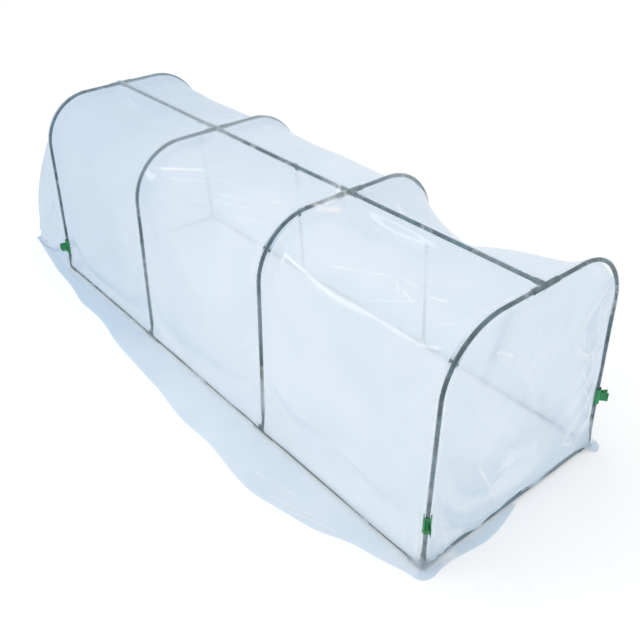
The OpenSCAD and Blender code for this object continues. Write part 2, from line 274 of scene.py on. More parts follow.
# point of a hoop's axis and its outward way, at distances from the ridge
def hoopLine(away):
    turn = np.clip((away - bendY) / bendRadius, 0, bendTurn)
    down = np.maximum(away - legTop, 0)
    y = np.minimum(away, bendY) + bendRadius * np.sin(turn) + down * math.sin(lean)
    z = bendZ + bendRadius * np.cos(turn) - down * math.cos(lean)
    return y, z, np.sin(turn), np.cos(turn)


# film cover

film = dict(
    seed=11,
    standOff=0.0098,        # film's middle from a tube's axis
    jointBulge=0.0034,      # how much further over a joint's sleeve
    sleeve=0.055,           # reach of a joint's sleeves
    sleeveFade=0.02,
    between=0.001,          # film's middle from the same axis, between the tubes
    behindHoop=0.03,
    beside=[0, 0.0035, 0.0069, 0.0100, 0.0135, 0.020, 0.032],    # rows close to each tube
    baySteps=65,
    skirtSteps=20, legSteps=44, bendSteps=30, topSteps=40,
    tailSteps=44, rimSteps=4,
    # hem beyond the rail and crease up the leg, by distance from the back hoop
    hemOut=[(-0.03, 0.08), (0.37, 0.12), (0.73, 0.15), (1.26, 0.20), (1.59, 0.22), (1.98, 0.24),
            (2.22, 0.25), (2.37, 0.22), (2.53, 0.18), (2.65, 0.12), (2.76, 0.095),
            (2.86, 0.066), (2.913, 0.050)],
    hemWave=0.004, hemWaveLength=0.45,
    creaseUp=[(-0.03, 0.07), (1.1, 0.10), (1.95, 0.19), (2.5, 0.24), (2.75, 0.15), (2.913, 0.085)],
    farSkirt=0.9,           # far skirt's width, as a share of the near one's
    farCrease=(0.45, 0.02),     # far crease's height: share of the near one's, and start
    # tail's reach behind the cover's straight part, by place across
    tailReach=[(-0.60, 0.50), (-0.50, 0.50), (-0.42, 0.42), (-0.35, 0.40), (-0.2, 0.46),
               (0.0, 0.55), (0.3, 0.62), (0.5, 0.61), (0.6, 0.60)],
    tailFold=0.010, tailFoldLength=0.16,
    # front skirt beyond the rail, by place across
    frontOut=[(-0.5, 0.050), (-0.38, 0.046), (-0.30, 0.064), (-0.15, 0.064), (-0.06, 0.045), (0.0, 0.030),
              (0.04, 0.014), (0.5, 0.012)],
    toe=0.026,              # where the skirt meets the ground, beyond the rail
    flare=0.025,            # how far the skirt leans out below its crease
    onGround=0.0016,
    frontLift=0.030,        # front hem's rise off the rail, on the far half
    wrinkles=[(5, 0.33, 0.006), (6, 0.14, 0.0022)],     # front panel's: seed, length, height
    # pulled folds of the front panel: ends (y, z), half width, height
    frontFolds=[
        ((0.404, 0.868), (0.276, 0.716), 0.024, 0.026), ((0.276, 0.716), (0.335, 0.540), 0.024, 0.024),
        ((0.335, 0.540), (0.430, 0.200), 0.022, 0.020), ((0.408, 0.850), (0.379, 0.707), 0.018, -0.018),
        ((0.379, 0.707), (0.410, 0.366), 0.018, -0.018), ((-0.141, 0.984), (-0.196, 0.872), 0.032, 0.016),
        ((-0.243, 0.948), (-0.272, 0.790), 0.032, -0.011), ((0.127, 0.870), (0.163, 0.651), 0.036, -0.012),
        ((0.163, 0.651), (0.090, 0.476), 0.036, -0.012), ((-0.233, 0.851), (-0.112, 0.769), 0.020, 0.009),
        ((-0.263, 0.372), (-0.102, 0.083), 0.026, 0.013), ((-0.159, 0.243), (-0.017, 0.263), 0.020, 0.010),
        ((-0.435, 0.330), (-0.452, 0.030), 0.015, 0.014), ((-0.395, 0.240), (-0.412, 0.020), 0.015, 0.011),
    ],
    # loose places: x, distance from the ridge, spread along and around, depth
    sags=[(1.34, 0.45, 0.30, 0.21, 0.098), (1.08, 0.25, 0.25, 0.30, 0.125),
          (0.29, 0.42, 0.25, 0.22, 0.008), (-0.68, 0.42, 0.25, 0.22, 0.008),
          (1.26, -0.36, 0.22, 0.16, 0.012), (0.29, -0.36, 0.25, 0.18, 0.006),
          (-0.68, -0.36, 0.25, 0.18, 0.006)],
    billow=0.0022,          # half of the film's slight sag between the hoops
    billowLength=0.42,
    widestRow=150,          # vault's row that gives the flat width
)


def curve(places, x):
    known = np.array(places)
    return np.interp(x, known[:, 0], known[:, 1])


# smooth curve through the same places
def softCurve(places, x, width):
    spread = np.linspace(-1, 1, 9) * width
    return sum(curve(places, x + step) for step in spread) / len(spread)


# sum of waves with seeded ways and phases; about -1 to 1
def waves(seed, points, length, count=14):
    pick = np.random.default_rng(seed)
    total = np.zeros(points.shape[:-1])
    for _ in range(count):
        way = pick.normal(size=points.shape[-1])
        way *= 2 * math.pi / (length * pick.uniform(0.7, 1.5)) / np.linalg.norm(way)
        total += np.sin(points @ way + pick.uniform(0, 2 * math.pi))
    return total / math.sqrt(count / 2)


def smooth(low, high, x):
    share = np.clip((x - low) / (high - low), 0, 1)
    return share * share * (3 - 2 * share)


# skirt from its hem (q 1) to its crease on the leg (q 0): out from the rail's axis, and up
def skirtLine(q, creaseOut, creaseZ, reach, flare):
    toe = np.minimum(film["toe"], 0.6 * reach)
    t = np.clip(1 - 2 * q, 0, 1)
    shares = ((1 - t) ** 3, 3 * t * (1 - t) ** 2, 3 * t ** 2 * (1 - t), t ** 3)
    outs = (toe, 0.8 * np.minimum(toe, 0.015) + flare, film["standOff"] + flare, creaseOut)
    ups = (film["onGround"], film["onGround"], railZ + 0.03, creaseZ)
    out = sum(share * place for share, place in zip(shares, outs))
    up = sum(share * place for share, place in zip(shares, ups))
    return out + (reach - toe) * np.clip(2 * q - 1, 0, 1), up


# film's height over a tube's axis at a distance beside it: wrapped round it, then straight down
def wrapped(away, radius):
    leave = radius * math.sqrt(0.5)
    onTube = np.sqrt(np.maximum(radius ** 2 - away ** 2, 0))
    return np.maximum(np.where(away < leave, onTube, 2 * leave - away), film["between"])


# film's radius round a tube, at a distance from the joint
def jointRadius(away):
    joint = smooth(film["sleeve"] + film["sleeveFade"], film["sleeve"], away)
    return film["standOff"] + film["jointBulge"] * joint


# film's height over the tubes at each x and distance from the ridge, with room for the joints
def overTubes(x, away):
    fromHoop = np.abs(x[:, None] - np.array(hoopX)).min(1)[:, None] + 0 * away
    toFoot = legTop + legLength - away
    over = wrapped(fromHoop, jointRadius(np.minimum(away, toFoot)))
    return np.maximum(over, wrapped(away, jointRadius(fromHoop)))


# one half of the film's section at each x, from the hem to the ridge: [row, column]
def halfSections(x, side, hem, up):
    rows = len(x)
    q = np.linspace(1, 0, film["skirtSteps"], endpoint=False)[None, :]
    crease = legTop + legLength - up[:, None]
    leg = np.linspace(1, 0, film["legSteps"], endpoint=False)[None, :]
    bend = np.linspace(1, 0, film["bendSteps"], endpoint=False)[None, :]
    closeBy = film["beside"][-2:0:-1]
    top = np.linspace(bendY, film["beside"][-1], film["topSteps"] - len(closeBy))
    top = np.concatenate([top, closeBy])[None, :]
    away = np.concatenate([
        np.repeat(crease, film["skirtSteps"], 1),
        legTop + (crease - legTop) * leg,
        np.repeat(bendY + (legTop - bendY) * bend, rows, 0),
        np.repeat(top, rows, 0)], 1)
    y, z, outY, outZ = hoopLine(away)
    off = overTubes(x, away)
    y = y + off * outY
    z = z + off * outZ
    n = film["skirtSteps"]
    flare = film["flare"] * (up[:, None] - 0.05)
    out, height = skirtLine(q, y[:, n:n + 1] - halfWidth, z[:, n:n + 1], hem[:, None], flare)
    y[:, :n] = halfWidth + out
    z[:, :n] = height
    outY[:, :n] *= (1 - q)
    outZ[:, :n] = np.sqrt(1 - outY[:, :n] ** 2)
    return side * y, z, side * outY, outZ, side * away


# distance of each point of the film from the axis of the nearest hoop or ridge tube, or of any tube
def fromTubes(points, withRails=True):
    step = 0.006
    axes = []
    away = np.arange(0, legTop + legLength, step)
    y, z, _, _ = hoopLine(away)
    for x in hoopX:
        for side in (-1, 1):
            axes += [(x, side * a, b) for a, b in zip(y, z)]
    axes += [(x, 0, ridgeZ) for x in np.arange(hoopX[0], hoopX[3], step)]
    if withRails:
        for x in np.arange(hoopX[0], hoopX[3], step):
            axes += [(x, halfWidth, railZ), (x, -halfWidth, railZ)]
        for y in np.arange(-halfWidth, halfWidth, step):
            axes += [(hoopX[0], y, railZ), (hoopX[3], y, railZ)]
    tree = KDTree(len(axes))
    for i, spot in enumerate(axes):
        tree.insert(spot, i)
    tree.balance()
    return np.array([tree.find(spot)[2] for spot in points])


def joinHalves(left, right, ridge):
    return np.concatenate([left, ridge, right[:, ::-1]], 1)


def hemWaves(along, seed):
    fade = smooth(0, 0.5, along) * smooth(2.9, 2.5, along)
    return film["hemWave"] * fade * waves(film["seed"] + 50 + seed, along[:, None], film["hemWaveLength"], 5)


def sections(x):
    along = x - hoopX[0]
    up = softCurve(film["creaseUp"], along, 0.08)
    hemLeft = softCurve(film["hemOut"], along, 0.05) + hemWaves(along, 1)
    hemRight = film["farSkirt"] * softCurve(film["hemOut"], along, 0.12) + hemWaves(along, 2)
    share, start = film["farCrease"]
    left = halfSections(x, -1, hemLeft, up)
    right = halfSections(x, 1, hemRight, share * up + start)
    one = np.ones((len(x), 1))
    ridge = (0 * one, ridgeZ + overTubes(x, 0 * one), 0 * one, one, 0 * one)
    return [joinHalves(a, b, c) for a, b, c in zip(left, right, ridge)]


beside = np.array(film["beside"])
vaultX = np.concatenate([
    hoopX[0] - np.array([film["behindHoop"], *beside[5:0:-1]]),
    *[np.concatenate([
        hoopX[i] + beside[:-1],
        np.linspace(hoopX[i] + beside[-1], hoopX[i + 1] - beside[-1], film["baySteps"]),
        hoopX[i + 1] - beside[-2:0:-1]]) for i in range(3)],
    [hoopX[3]]])
y, z, outY, outZ, around = sections(vaultX)
vault = np.stack([np.repeat(vaultX[:, None], y.shape[1], 1), y, z], 2)
outward = np.stack([0 * y, outY, outZ], 2)

# inward sags between the hoops, none at a hoop or at the ridge tube
bayPart = np.interp(vaultX, hoopX, [0, 1, 2, 3]) % 1.0
free = np.maximum(np.sin(math.pi * bayPart), 0) ** 0.8
dip = np.zeros(y.shape)
for x0, away0, wide, tall, depth in film["sags"]:
    dip += depth * np.exp(-((vault[:, :, 0] - x0) / wide) ** 2 - ((around - away0) / tall) ** 2)
dip *= smooth(0.014, 0.08, np.abs(around)) * smooth(0.0, 0.22, free)[:, None]
billow = waves(film["seed"], np.stack([vault[:, :, 0], around], 2), film["billowLength"])
dip += free[:, None] * film["billow"] * (1 + billow) * smooth(0.01, 0.1, np.abs(around))
onSide = smooth(film["skirtSteps"] - 1, film["skirtSteps"] + 8, np.arange(y.shape[1]))
onSide = onSide * onSide[::-1]
vault -= outward * (dip * onSide)[:, :, None]

# tail: the back section pressed down to the ground
first = vault[0]
fall = np.linspace(math.pi / 2, 0, film["tailSteps"], endpoint=False)[:, None]
reach = softCurve(film["tailReach"], first[:, 1], 0.05)[None, :]
hemPast = np.maximum(np.abs(first[:, 1]) - halfWidth, 0) * np.sign(first[:, 1])
tail = np.stack([
    first[None, :, 0] - reach * np.sin(fall) ** 2,
    first[None, :, 1] - hemPast[None, :] * np.sin(fall) ** 2,       # skirts narrow to the tail's corners
    first[None, :, 2] * np.cos(fall) + film["onGround"] * np.sin(fall)], 2)
folds = waves(film["seed"] + 3, np.stack([around[0], 0 * around[0]], 1), film["tailFoldLength"])
tail[:, :, 2] += (np.sin(2 * fall) * film["tailFold"]) * folds[None, :] * np.clip(tail[:, :, 2] / 0.1, 0, 1)

# rim: rolled round the front hoop's tube
turns = np.linspace(0, math.pi / 2, film["rimSteps"] + 1)[1:]
frontX = hoopX[3]
rimOutY, rimOutZ = sections(np.array([frontX]))[2:4]
last = vault[-1]
rim = []
for turn in turns:
    row = last.copy()
    row[:, 0] = frontX + film["standOff"] * math.sin(turn)
    inward = film["standOff"] * (1 - math.cos(turn))
    row[:, 1] -= inward * rimOutY[0]
    row[:, 2] -= inward * rimOutZ[0] * onSide
    n = film["skirtSteps"]
    for columns in (slice(0, n), slice(-n, None)):
        side = np.sign(last[columns, 1])
        spread = np.abs(last[columns, 1]) - halfWidth
        row[columns, 1] = side * (halfWidth + spread * math.cos(turn))
        row[columns, 0] = frontX + np.maximum(spread, film["standOff"]) * math.sin(turn)
        row[columns, 2] = last[columns, 2]
    rim.append(row)
rim = np.array(rim)


# distance of places (y, z) from the line between two of them
def fromLine(places, first, last):
    way = np.array(last) - first
    gap = places - first
    share = np.clip(gap @ way / (way @ way), 0, 1)
    return np.linalg.norm(gap - share[..., None] * way, axis=-1)


# front panel and its skirt, from the rim's left side to its right
panelRows = film["skirtSteps"] + film["legSteps"] + film["bendSteps"]
panelColumns = 2 * film["topSteps"]
edge = rim[-1]
leftEdge = edge[:panelRows]
rightEdge = edge[::-1][:panelRows]
topY = edge[panelRows:panelRows + panelColumns + 1, 1]
across = ((topY - topY[0]) / (topY[-1] - topY[0]))[None, 1:-1, None]
panel = leftEdge[:, None, :] * (1 - across) + rightEdge[:, None, :] * across
n = film["skirtSteps"]
q = np.linspace(1, 0, n, endpoint=False)[:, None]
frontOut = softCurve(film["frontOut"], panel[:n, :, 1], 0.03)
out, height = skirtLine(q, film["standOff"], panel[n:n + 1, :, 2], frontOut, 0)
blend = smooth(0, 0.06, halfWidth - np.abs(panel[:n, :, 1]))
panel[:n, :, 0] += blend * (frontX + out - panel[:n, :, 0])
panel[:n, :, 2] += blend * (height - panel[:n, :, 2])
# drawn back between the tubes
flat = panel.reshape(-1, 3).copy()
flat[:, 0] = frontX
away = fromTubes(flat).reshape(panel.shape[:2])
corner = np.hypot(halfWidth - np.abs(panel[:, :, 1]), panel[:, :, 2] - railZ)
ridgeJoint = np.hypot(panel[:, :, 1], panel[:, :, 2] - ridgeZ)
back = film["standOff"] - wrapped(away, jointRadius(np.minimum(corner, ridgeJoint)))
panel[:, :, 0] -= back * smooth(n - 2, n + 6, np.arange(panelRows))[:, None]
# hem is lifted off the rail on the far half
lift = smooth(-0.03, 0.05, panel[:, :, 1]) * smooth(0.5, 0.44, panel[:, :, 1])
low = film["frontLift"] * lift
panel[:, :, 2] = low + panel[:, :, 2] * (1 - low / ridgeZ)
wrinkle = sum(
    waves(film["seed"] + seed, panel[:, :, 1:], length) * tall
    for seed, length, tall in film["wrinkles"])
inside = np.sin(math.pi * across[:, :, 0]) ** 0.5 * smooth(0, 12, np.arange(panelRows, 0, -1))[:, None]
fold = np.zeros(wrinkle.shape)
for first, last, wide, tall in film["frontFolds"]:
    away = fromLine(panel[:, :, 1:], first, last)
    own = tall * np.exp(-(away / wide) ** 1.3)
    fold = np.where(np.abs(own) > np.abs(fold), own, fold)
panel[:, :, 0] += (wrinkle + fold) * inside


# one mesh of all the film's rows

rows = np.concatenate([tail, vault, rim], 0)
rowCount, columnCount = rows.shape[:2]
points = np.concatenate([rows.reshape(-1, 3), panel.reshape(-1, 3)], 0)
grid = np.arange(rowCount * columnCount).reshape(rowCount, columnCount)
panelGrid = np.zeros((panelRows + 1, panelColumns + 1), int)
panelGrid[:panelRows, 1:-1] = rowCount * columnCount + np.arange(panel[:, :, 0].size).reshape(panelRows, -1)
panelGrid[:panelRows, 0] = grid[-1, :panelRows]
panelGrid[:panelRows, -1] = grid[-1, ::-1][:panelRows]
panelGrid[panelRows] = grid[-1, panelRows:panelRows + panelColumns + 1]


def quads(g, flip):
    corners = [g[:-1, :-1], g[:-1, 1:], g[1:, 1:], g[1:, :-1]]
    if flip:
        corners.reverse()
    return np.stack([c.ravel() for c in corners], 1)


faces = np.concatenate([quads(grid, True), quads(panelGrid, False)], 0)
print("film has", len(points), "points,", len(faces), "faces")


# crumpled places, where the film's finish also paints white glare along the crumple lines: middle, spread
# along each axis, amount
crumples = [
    ((0.80, -0.09, 1.01), (0.10, 0.07, 0.06), 1.0),
    ((1.42, -0.30, 0.99), (0.13, 0.08, 0.08), 0.9),
    ((0.40, -0.34, 0.98), (0.25, 0.09, 0.08), 0.6),
    ((1.76, -0.12, 0.25), (0.08, 0.15, 0.17), 1.0),
    ((1.76, 0.36, 0.60), (0.08, 0.10, 0.30), 1.0),
    ((1.76, -0.17, 0.80), (0.08, 0.10, 0.09), 0.7),
    ((1.76, -0.40, 0.12), (0.08, 0.07, 0.12), 0.7),
    ((1.20, -0.66, 0.00), (0.22, 0.07, 0.04), 0.7),
    ((-1.45, 0.0, 0.30), (0.22, 0.45, 0.30), 0.6),
    ((1.12, 0.36, 0.85), (0.22, 0.14, 0.16), 0.4),
]


crumpledAndGlare = np.zeros(len(points))
for spot, spread, amount in crumples:
    crumpledAndGlare += amount * np.exp(-((((points - np.array(spot)) / np.array(spread)) ** 2).sum(1)))
crumpledAndGlare = np.clip(crumpledAndGlare, 0, 1)


# sharp creases, each with a little bump and a white painted highlight: both ends, half width, strength
creases = [
    ((-0.165, -0.394, 0.940), (0.130, -0.277, 0.999), 0.012, 0.90),
    ((-0.062, -0.403, 0.929), (0.211, -0.326, 0.980), 0.007, 0.35),
    ((0.118, -0.433, 0.887), (0.297, -0.398, 0.929), 0.008, 0.30),
    ((0.280, -0.353, 0.965), (0.499, -0.308, 0.990), 0.008, 0.45),
    ((0.575, -0.262, 1.006), (0.646, -0.209, 1.012), 0.010, 0.70),
    ((0.799, -0.204, 1.010), (0.838, -0.084, 1.000), 0.026, 1.00),
    ((0.719, -0.023, 1.013), (0.806, -0.034, 1.010), 0.016, 0.90),
    ((0.793, -0.158, 1.010), (0.786, -0.070, 1.010), 0.010, 0.70),
    ((0.716, 0.116, 1.001), (0.787, 0.069, 1.007), 0.012, 0.45),
    ((0.868, 0.185, 0.950), (0.955, 0.171, 0.914), 0.012, 0.80),
    ((1.016, -0.248, 1.000), (1.049, -0.276, 0.994), 0.006, 0.70),
    ((0.993, -0.474, 0.796), (1.023, -0.458, 0.846), 0.007, 0.50),
    ((1.038, -0.378, 0.946), (1.326, -0.290, 0.989), 0.007, 0.75),
    ((1.339, -0.293, 0.989), (1.384, -0.327, 0.975), 0.008, 0.70),
    ((1.346, -0.272, 0.996), (1.453, -0.280, 0.995), 0.007, 0.60),
    ((1.388, -0.316, 0.980), (1.465, -0.341, 0.971), 0.007, 0.70),
    ((1.290, -0.404, 0.911), (1.490, -0.334, 0.976), 0.006, 0.45),
    ((1.488, -0.292, 0.993), (1.572, -0.273, 1.001), 0.010, 0.80),
    ((1.584, -0.374, 0.955), (1.664, -0.338, 0.979), 0.006, 0.40),
    ((1.720, -0.161, 1.013), (1.721, -0.123, 1.013), 0.010, 0.60),
    ((1.650, 0.038, 1.013), (1.684, 0.026, 1.013), 0.010, 0.60),
    ((1.757, -0.233, 0.851), (1.757, -0.112, 0.769), 0.012, 0.70),
    ((1.757, -0.204, 0.819), (1.757, -0.126, 0.724), 0.008, 0.50),
    ((1.757, -0.056, 0.689), (1.757, 0.050, 0.511), 0.010, 0.35),
    ((1.757, -0.141, 0.984), (1.757, -0.196, 0.872), 0.012, 0.30),
    ((1.757, 0.404, 0.868), (1.757, 0.276, 0.716), 0.008, 0.80),
    ((1.757, 0.276, 0.716), (1.757, 0.311, 0.613), 0.008, 0.50),
    ((1.757, 0.408, 0.850), (1.757, 0.379, 0.707), 0.008, 0.60),
    ((1.757, 0.379, 0.707), (1.757, 0.410, 0.366), 0.008, 0.70),
    ((1.757, 0.265, 0.614), (1.757, 0.359, 0.544), 0.014, 0.90),
    ((1.757, 0.332, 0.528), (1.757, 0.439, 0.198), 0.008, 0.70),
    ((1.757, 0.294, 0.950), (1.757, 0.333, 0.910), 0.014, 0.60),
    ((1.757, 0.277, 0.141), (1.757, 0.377, 0.093), 0.010, 0.70),
    ((1.757, -0.141, 0.350), (1.757, -0.006, 0.261), 0.007, 0.60),
    ((1.757, -0.263, 0.372), (1.757, -0.102, 0.083), 0.010, 0.90),
    ((1.757, -0.159, 0.243), (1.757, -0.017, 0.263), 0.007, 0.70),
    ((1.757, -0.049, 0.119), (1.757, -0.018, 0.181), 0.007, 0.60),
    ((0.921, -0.679, 0.002), (1.189, -0.624, 0.002), 0.007, 0.45),
    ((1.060, -0.720, 0.002), (1.319, -0.640, 0.002), 0.007, 0.50),
    ((1.196, -0.700, 0.002), (1.438, -0.615, 0.002), 0.007, 0.45),
    ((0.760, -0.225, 1.010), (0.800, -0.150, 1.010), 0.016, 0.90),
    ((0.690, 0.030, 1.012), (0.745, -0.035, 1.012), 0.012, 0.80),
    ((0.300, -0.385, 0.944), (0.600, -0.325, 0.981), 0.007, 0.40),
    ((0.150, -0.300, 0.992), (0.450, -0.255, 1.005), 0.008, 0.35),
    ((0.450, -0.400, 0.925), (0.680, -0.360, 0.962), 0.007, 0.35),
    # gathered film by the near front corner
    ((1.757, -0.452, 0.300), (1.757, -0.440, 0.050), 0.008, 0.80),
    ((1.757, -0.400, 0.220), (1.757, -0.372, 0.030), 0.008, 0.60),
    ((1.757, -0.330, 0.160), (1.757, -0.300, 0.020), 0.008, 0.60),
    ((1.690, -0.500, 0.260), (1.715, -0.505, 0.050), 0.008, 0.70),
    ((1.640, -0.500, 0.160), (1.660, -0.505, 0.040), 0.007, 0.45),
    ((1.700, -0.535, 0.002), (1.640, -0.560, 0.002), 0.008, 0.60),
    ((1.790, -0.440, 0.002), (1.795, -0.340, 0.002), 0.008, 0.60),
    # fainter ones on the sides that the photograph hides
    ((-0.90, 0.420, 0.905), (-0.55, 0.330, 0.978), 0.008, 0.40),
    ((0.10, 0.350, 0.967), (0.42, 0.400, 0.928), 0.008, 0.40),
    ((-0.65, 0.488, 0.350), (-0.45, 0.480, 0.560), 0.008, 0.35),
    ((0.20, 0.481, 0.500), (0.50, 0.487, 0.340), 0.008, 0.35),
    ((-1.00, -0.060, 1.013), (-0.80, -0.110, 1.013), 0.008, 0.40),
    ((-0.45, 0.130, 1.013), (-0.30, 0.170, 1.013), 0.008, 0.40),
]

# creases that lie close go on separate layers, so that each point has one to a layer
longestFace = 0.015         # of the film, on each side of a crease


def creasePoints(crease):
    return np.linspace(crease[0], crease[1], 9)


creaseLayers = []
for crease in creases:
    for layer in creaseLayers:
        gaps = [np.linalg.norm(creasePoints(crease)[:, None] - creasePoints(other), axis=2).min()
                - other[2] - crease[2] - 2 * longestFace for other in layer]
        if min(gaps) > 0.004:
            layer.append(crease)
            break
    else:
        creaseLayers.append([crease])
print(len(creases), "creases on", len(creaseLayers), "layers")


# way out of the tunnel at a place on the film
def outwardAt(spot):
    x, y, z = spot
    if x > hoopX[3] + 0.005:
        return np.array((1.0, 0, 0))
    if z < 0.05 or abs(y) <= bendY:
        return np.array((0, 0, 1.0))
    turn = min(math.atan2(abs(y) - bendY, z - bendZ), bendTurn)
    return np.array((0, math.copysign(math.sin(turn), y), math.cos(turn)))


# each point's distance from its nearest crease, in half widths, and that crease's strength
def creaseMarks(points, creases):
    off = np.full(len(points), 9.0)
    mark = np.zeros(len(points))
    nearest = np.full(len(points), 9.0)
    for first, last, half, strength in creases:
        first = np.array(first)
        way = np.array(last) - first
        length = np.linalg.norm(way)
        way /= length
        out = outwardAt(first + way * length / 2)
        sideways = np.cross(out, way)
        gap = points - first
        along = gap @ way
        side = gap @ sideways
        away = np.hypot(np.maximum(np.abs(along - length / 2) - length / 2, 0), side)
        own = (away < nearest) & (np.abs(gap @ out) < 0.06)
        nearest[own] = away[own]
        off[own] = side[own] / half
        fade = smooth(0, 0.2, along / length) * smooth(1, 0.8, along / length)
        mark[own] = (strength * fade * (np.abs(side) < half + longestFace))[own]
    return off, mark


# the film settles under its weight

drape = dict(
    steps=260,
    pull=0.00002,           # fall in a step
    keep=0.97,              # share of a step's motion that carries on
    rounds=2, relax=1.6,    # of the stretch in a step
    uneven=0.0007,          # starts the folds
    grip=0.3,               # share of a slide that the ground lets through
    slack=0.0002, patchSlack=0.0012, crumpleSlack=0.007, skirtSlack=0.004, tailSlack=0.007,
    bendStiffness=0.14,
    cap=0.030,              # most that a point moves
    heldBy=0.080,           # how far from a tube the film is held still
    leastLoose=0.004,       # share of its freedom that held film keeps
    calmSteps=14,           # taut places keep only the broad part of their sag
    tailRough=0.6, groundRough=0.4, leastRough=0.08,    # fine ripples that stay
)


def pairs(g, rowStep, columnStep):
    down = g.shape[0] - rowStep
    if columnStep >= 0:
        return np.stack([g[:down, :g.shape[1] - columnStep].ravel(), g[rowStep:, columnStep:].ravel()], 1)
    return np.stack([g[:down, -columnStep:].ravel(), g[rowStep:, :columnStep].ravel()], 1)


def outOfTubes(p):
    # hoops
    for x in hoopX:
        near = np.nonzero(np.abs(p[:, 0] - x) < film["standOff"])[0]
        q = p[near]
        side = np.where(q[:, 1] < 0, -1.0, 1.0)
        y = np.abs(q[:, 1])
        fromBend = np.stack([y - bendY, q[:, 2] - bendZ], 1)
        reach = np.maximum(np.linalg.norm(fromBend, axis=1), 1e-6)
        turn = np.arctan2(fromBend[:, 0], fromBend[:, 1])
        onTop = y <= bendY
        onLeg = (turn > bendTurn) & ~onTop
        outY = np.where(onTop, 0, np.where(onLeg, math.cos(lean), fromBend[:, 0] / reach))
        outZ = np.where(onTop, 1, np.where(onLeg, math.sin(lean), fromBend[:, 1] / reach))
        legOff = (y - halfWidth) * math.cos(lean) + (q[:, 2] - railZ) * math.sin(lean)
        off = np.where(onTop, q[:, 2] - ridgeZ, np.where(onLeg, legOff, reach - bendRadius))
        aside = q[:, 0] - x
        push = np.maximum(film["standOff"] / np.maximum(np.hypot(aside, off), 1e-6) - 1, 0)
        p[near, 0] += aside * push
        p[near, 1] += side * outY * off * push
        p[near, 2] += outZ * off * push
    # ridge tube
    near = np.nonzero((np.abs(p[:, 1]) < film["standOff"]) & (p[:, 2] > ridgeZ - 0.03)
                      & (p[:, 0] > hoopX[0]) & (p[:, 0] < hoopX[3]))[0]
    want = ridgeZ + np.sqrt(np.maximum(film["standOff"] ** 2 - p[near, 1] ** 2, 0))
    p[near, 2] = np.maximum(p[near, 2], want)
    p[:, 2] = np.maximum(p[:, 2], film["onGround"])


def settleFilm(start):
    count = len(start)
    grids = (grid, panelGrid)
    close = np.concatenate([pairs(g, *way) for g in grids for way in ((0, 1), (1, 0), (1, 1), (1, -1))])
    far = np.concatenate([pairs(g, *way) for g in grids for way in ((0, 2), (2, 0))])
    patch = np.maximum(waves(film["seed"] + 21, start, 0.30), 0)
    slack = drape["slack"] + drape["patchSlack"] * patch + drape["crumpleSlack"] * crumpledAndGlare
    slack += drape["skirtSlack"] * smooth(0.10, 0.02, start[:, 2])
    slack += drape["tailSlack"] * smooth(hoopX[0] - 0.03, hoopX[0] - 0.15, start[:, 0])
    loose = smooth(film["standOff"] + 0.002, drape["heldBy"], fromTubes(start))
    slack *= loose
    cap = drape["cap"] * np.maximum(loose, drape["leastLoose"])
    links = np.concatenate([close, far])
    rest = np.linalg.norm(start[links[:, 1]] - start[links[:, 0]], axis=1)
    rest *= 1 + slack[links].mean(1)
    stiff = np.where(np.arange(len(links)) < len(close), 1.0, drape["bendStiffness"])
    share = np.bincount(links[:, 0], stiff, count) + np.bincount(links[:, 1], stiff, count)
    first, second = links.T
    # small seeded unevenness starts the folds
    p = start.copy()
    offGround = smooth(0.01, 0.05, start[:, 2])
    onFront = smooth(frontX, frontX + 0.008, start[:, 0])
    for k, length in enumerate((0.05, 0.11)):
        p[:, k + 1] += drape["uneven"] * loose * waves(film["seed"] + 31 + k, start, length) * offGround
        p[:, 0] += drape["uneven"] * loose * waves(film["seed"] + 41 + k, start, length) * onFront
    before = p.copy()
    for _ in range(drape["steps"]):
        moved = (p - before) * drape["keep"]
        before = p.copy()
        p += moved
        p[:, 2] -= drape["pull"]
        for _ in range(drape["rounds"]):
            gap = p[second] - p[first]
            length = np.maximum(np.linalg.norm(gap, axis=1), 1e-7)
            gap *= (0.5 * stiff * (length - rest) / length)[:, None]
            for axis in range(3):
                pulled = np.bincount(first, gap[:, axis], count) - np.bincount(second, gap[:, axis], count)
                p[:, axis] += drape["relax"] * pulled / share
        away = p - start
        over = np.maximum(np.linalg.norm(away, axis=1) / cap, 1)
        p = start + away / over[:, None]
        outOfTubes(p)
        onGround = p[:, 2] < 0.003
        p[onGround, :2] = before[onGround, :2] + drape["grip"] * (p[onGround, :2] - before[onGround, :2])
    # fine ripples stay only where the film is crumpled or lies loose
    drop = p - start
    calm = drop.copy()
    first, second = close.T
    degree = np.bincount(first, None, count) + np.bincount(second, None, count)
    for _ in range(drape["calmSteps"]):
        for axis in range(3):
            around = np.bincount(first, calm[second, axis], count)
            around += np.bincount(second, calm[first, axis], count)
            calm[:, axis] = 0.4 * calm[:, axis] + 0.6 * around / degree
    rough = crumpledAndGlare + drape["tailRough"] * smooth(hoopX[0] - 0.05, hoopX[0] - 0.2, start[:, 0])
    rough = rough + drape["groundRough"] * smooth(0.03, 0.01, start[:, 2])
    rough = np.clip(rough, drape["leastRough"], 1) * loose
    taut = np.maximum(loose, drape["leastLoose"])[:, None] ** 0.5
    p = start + calm * taut + (drop - calm) * rough[:, None]
    outOfTubes(p)
    return p


points = settleFilm(points)
print("film settled")


def makeMesh(name, points, faces):
    mesh = bpy.data.meshes.new(name)
    mesh.vertices.add(len(points))
    mesh.vertices.foreach_set("co", np.ascontiguousarray(points, np.float32).ravel())
    mesh.loops.add(faces.size)
    mesh.loops.foreach_set("vertex_index", faces.ravel().astype(np.int32))
    mesh.polygons.add(len(faces))
    mesh.polygons.foreach_set("loop_start", np.arange(0, faces.size, 4, dtype=np.int32))
    mesh.polygons.foreach_set("use_smooth", np.ones(len(faces), bool))
    mesh.update(calc_edges=True)
    mesh.validate()
    made = bpy.data.objects.new(name, mesh)
    scene.collection.objects.link(made)
    return made


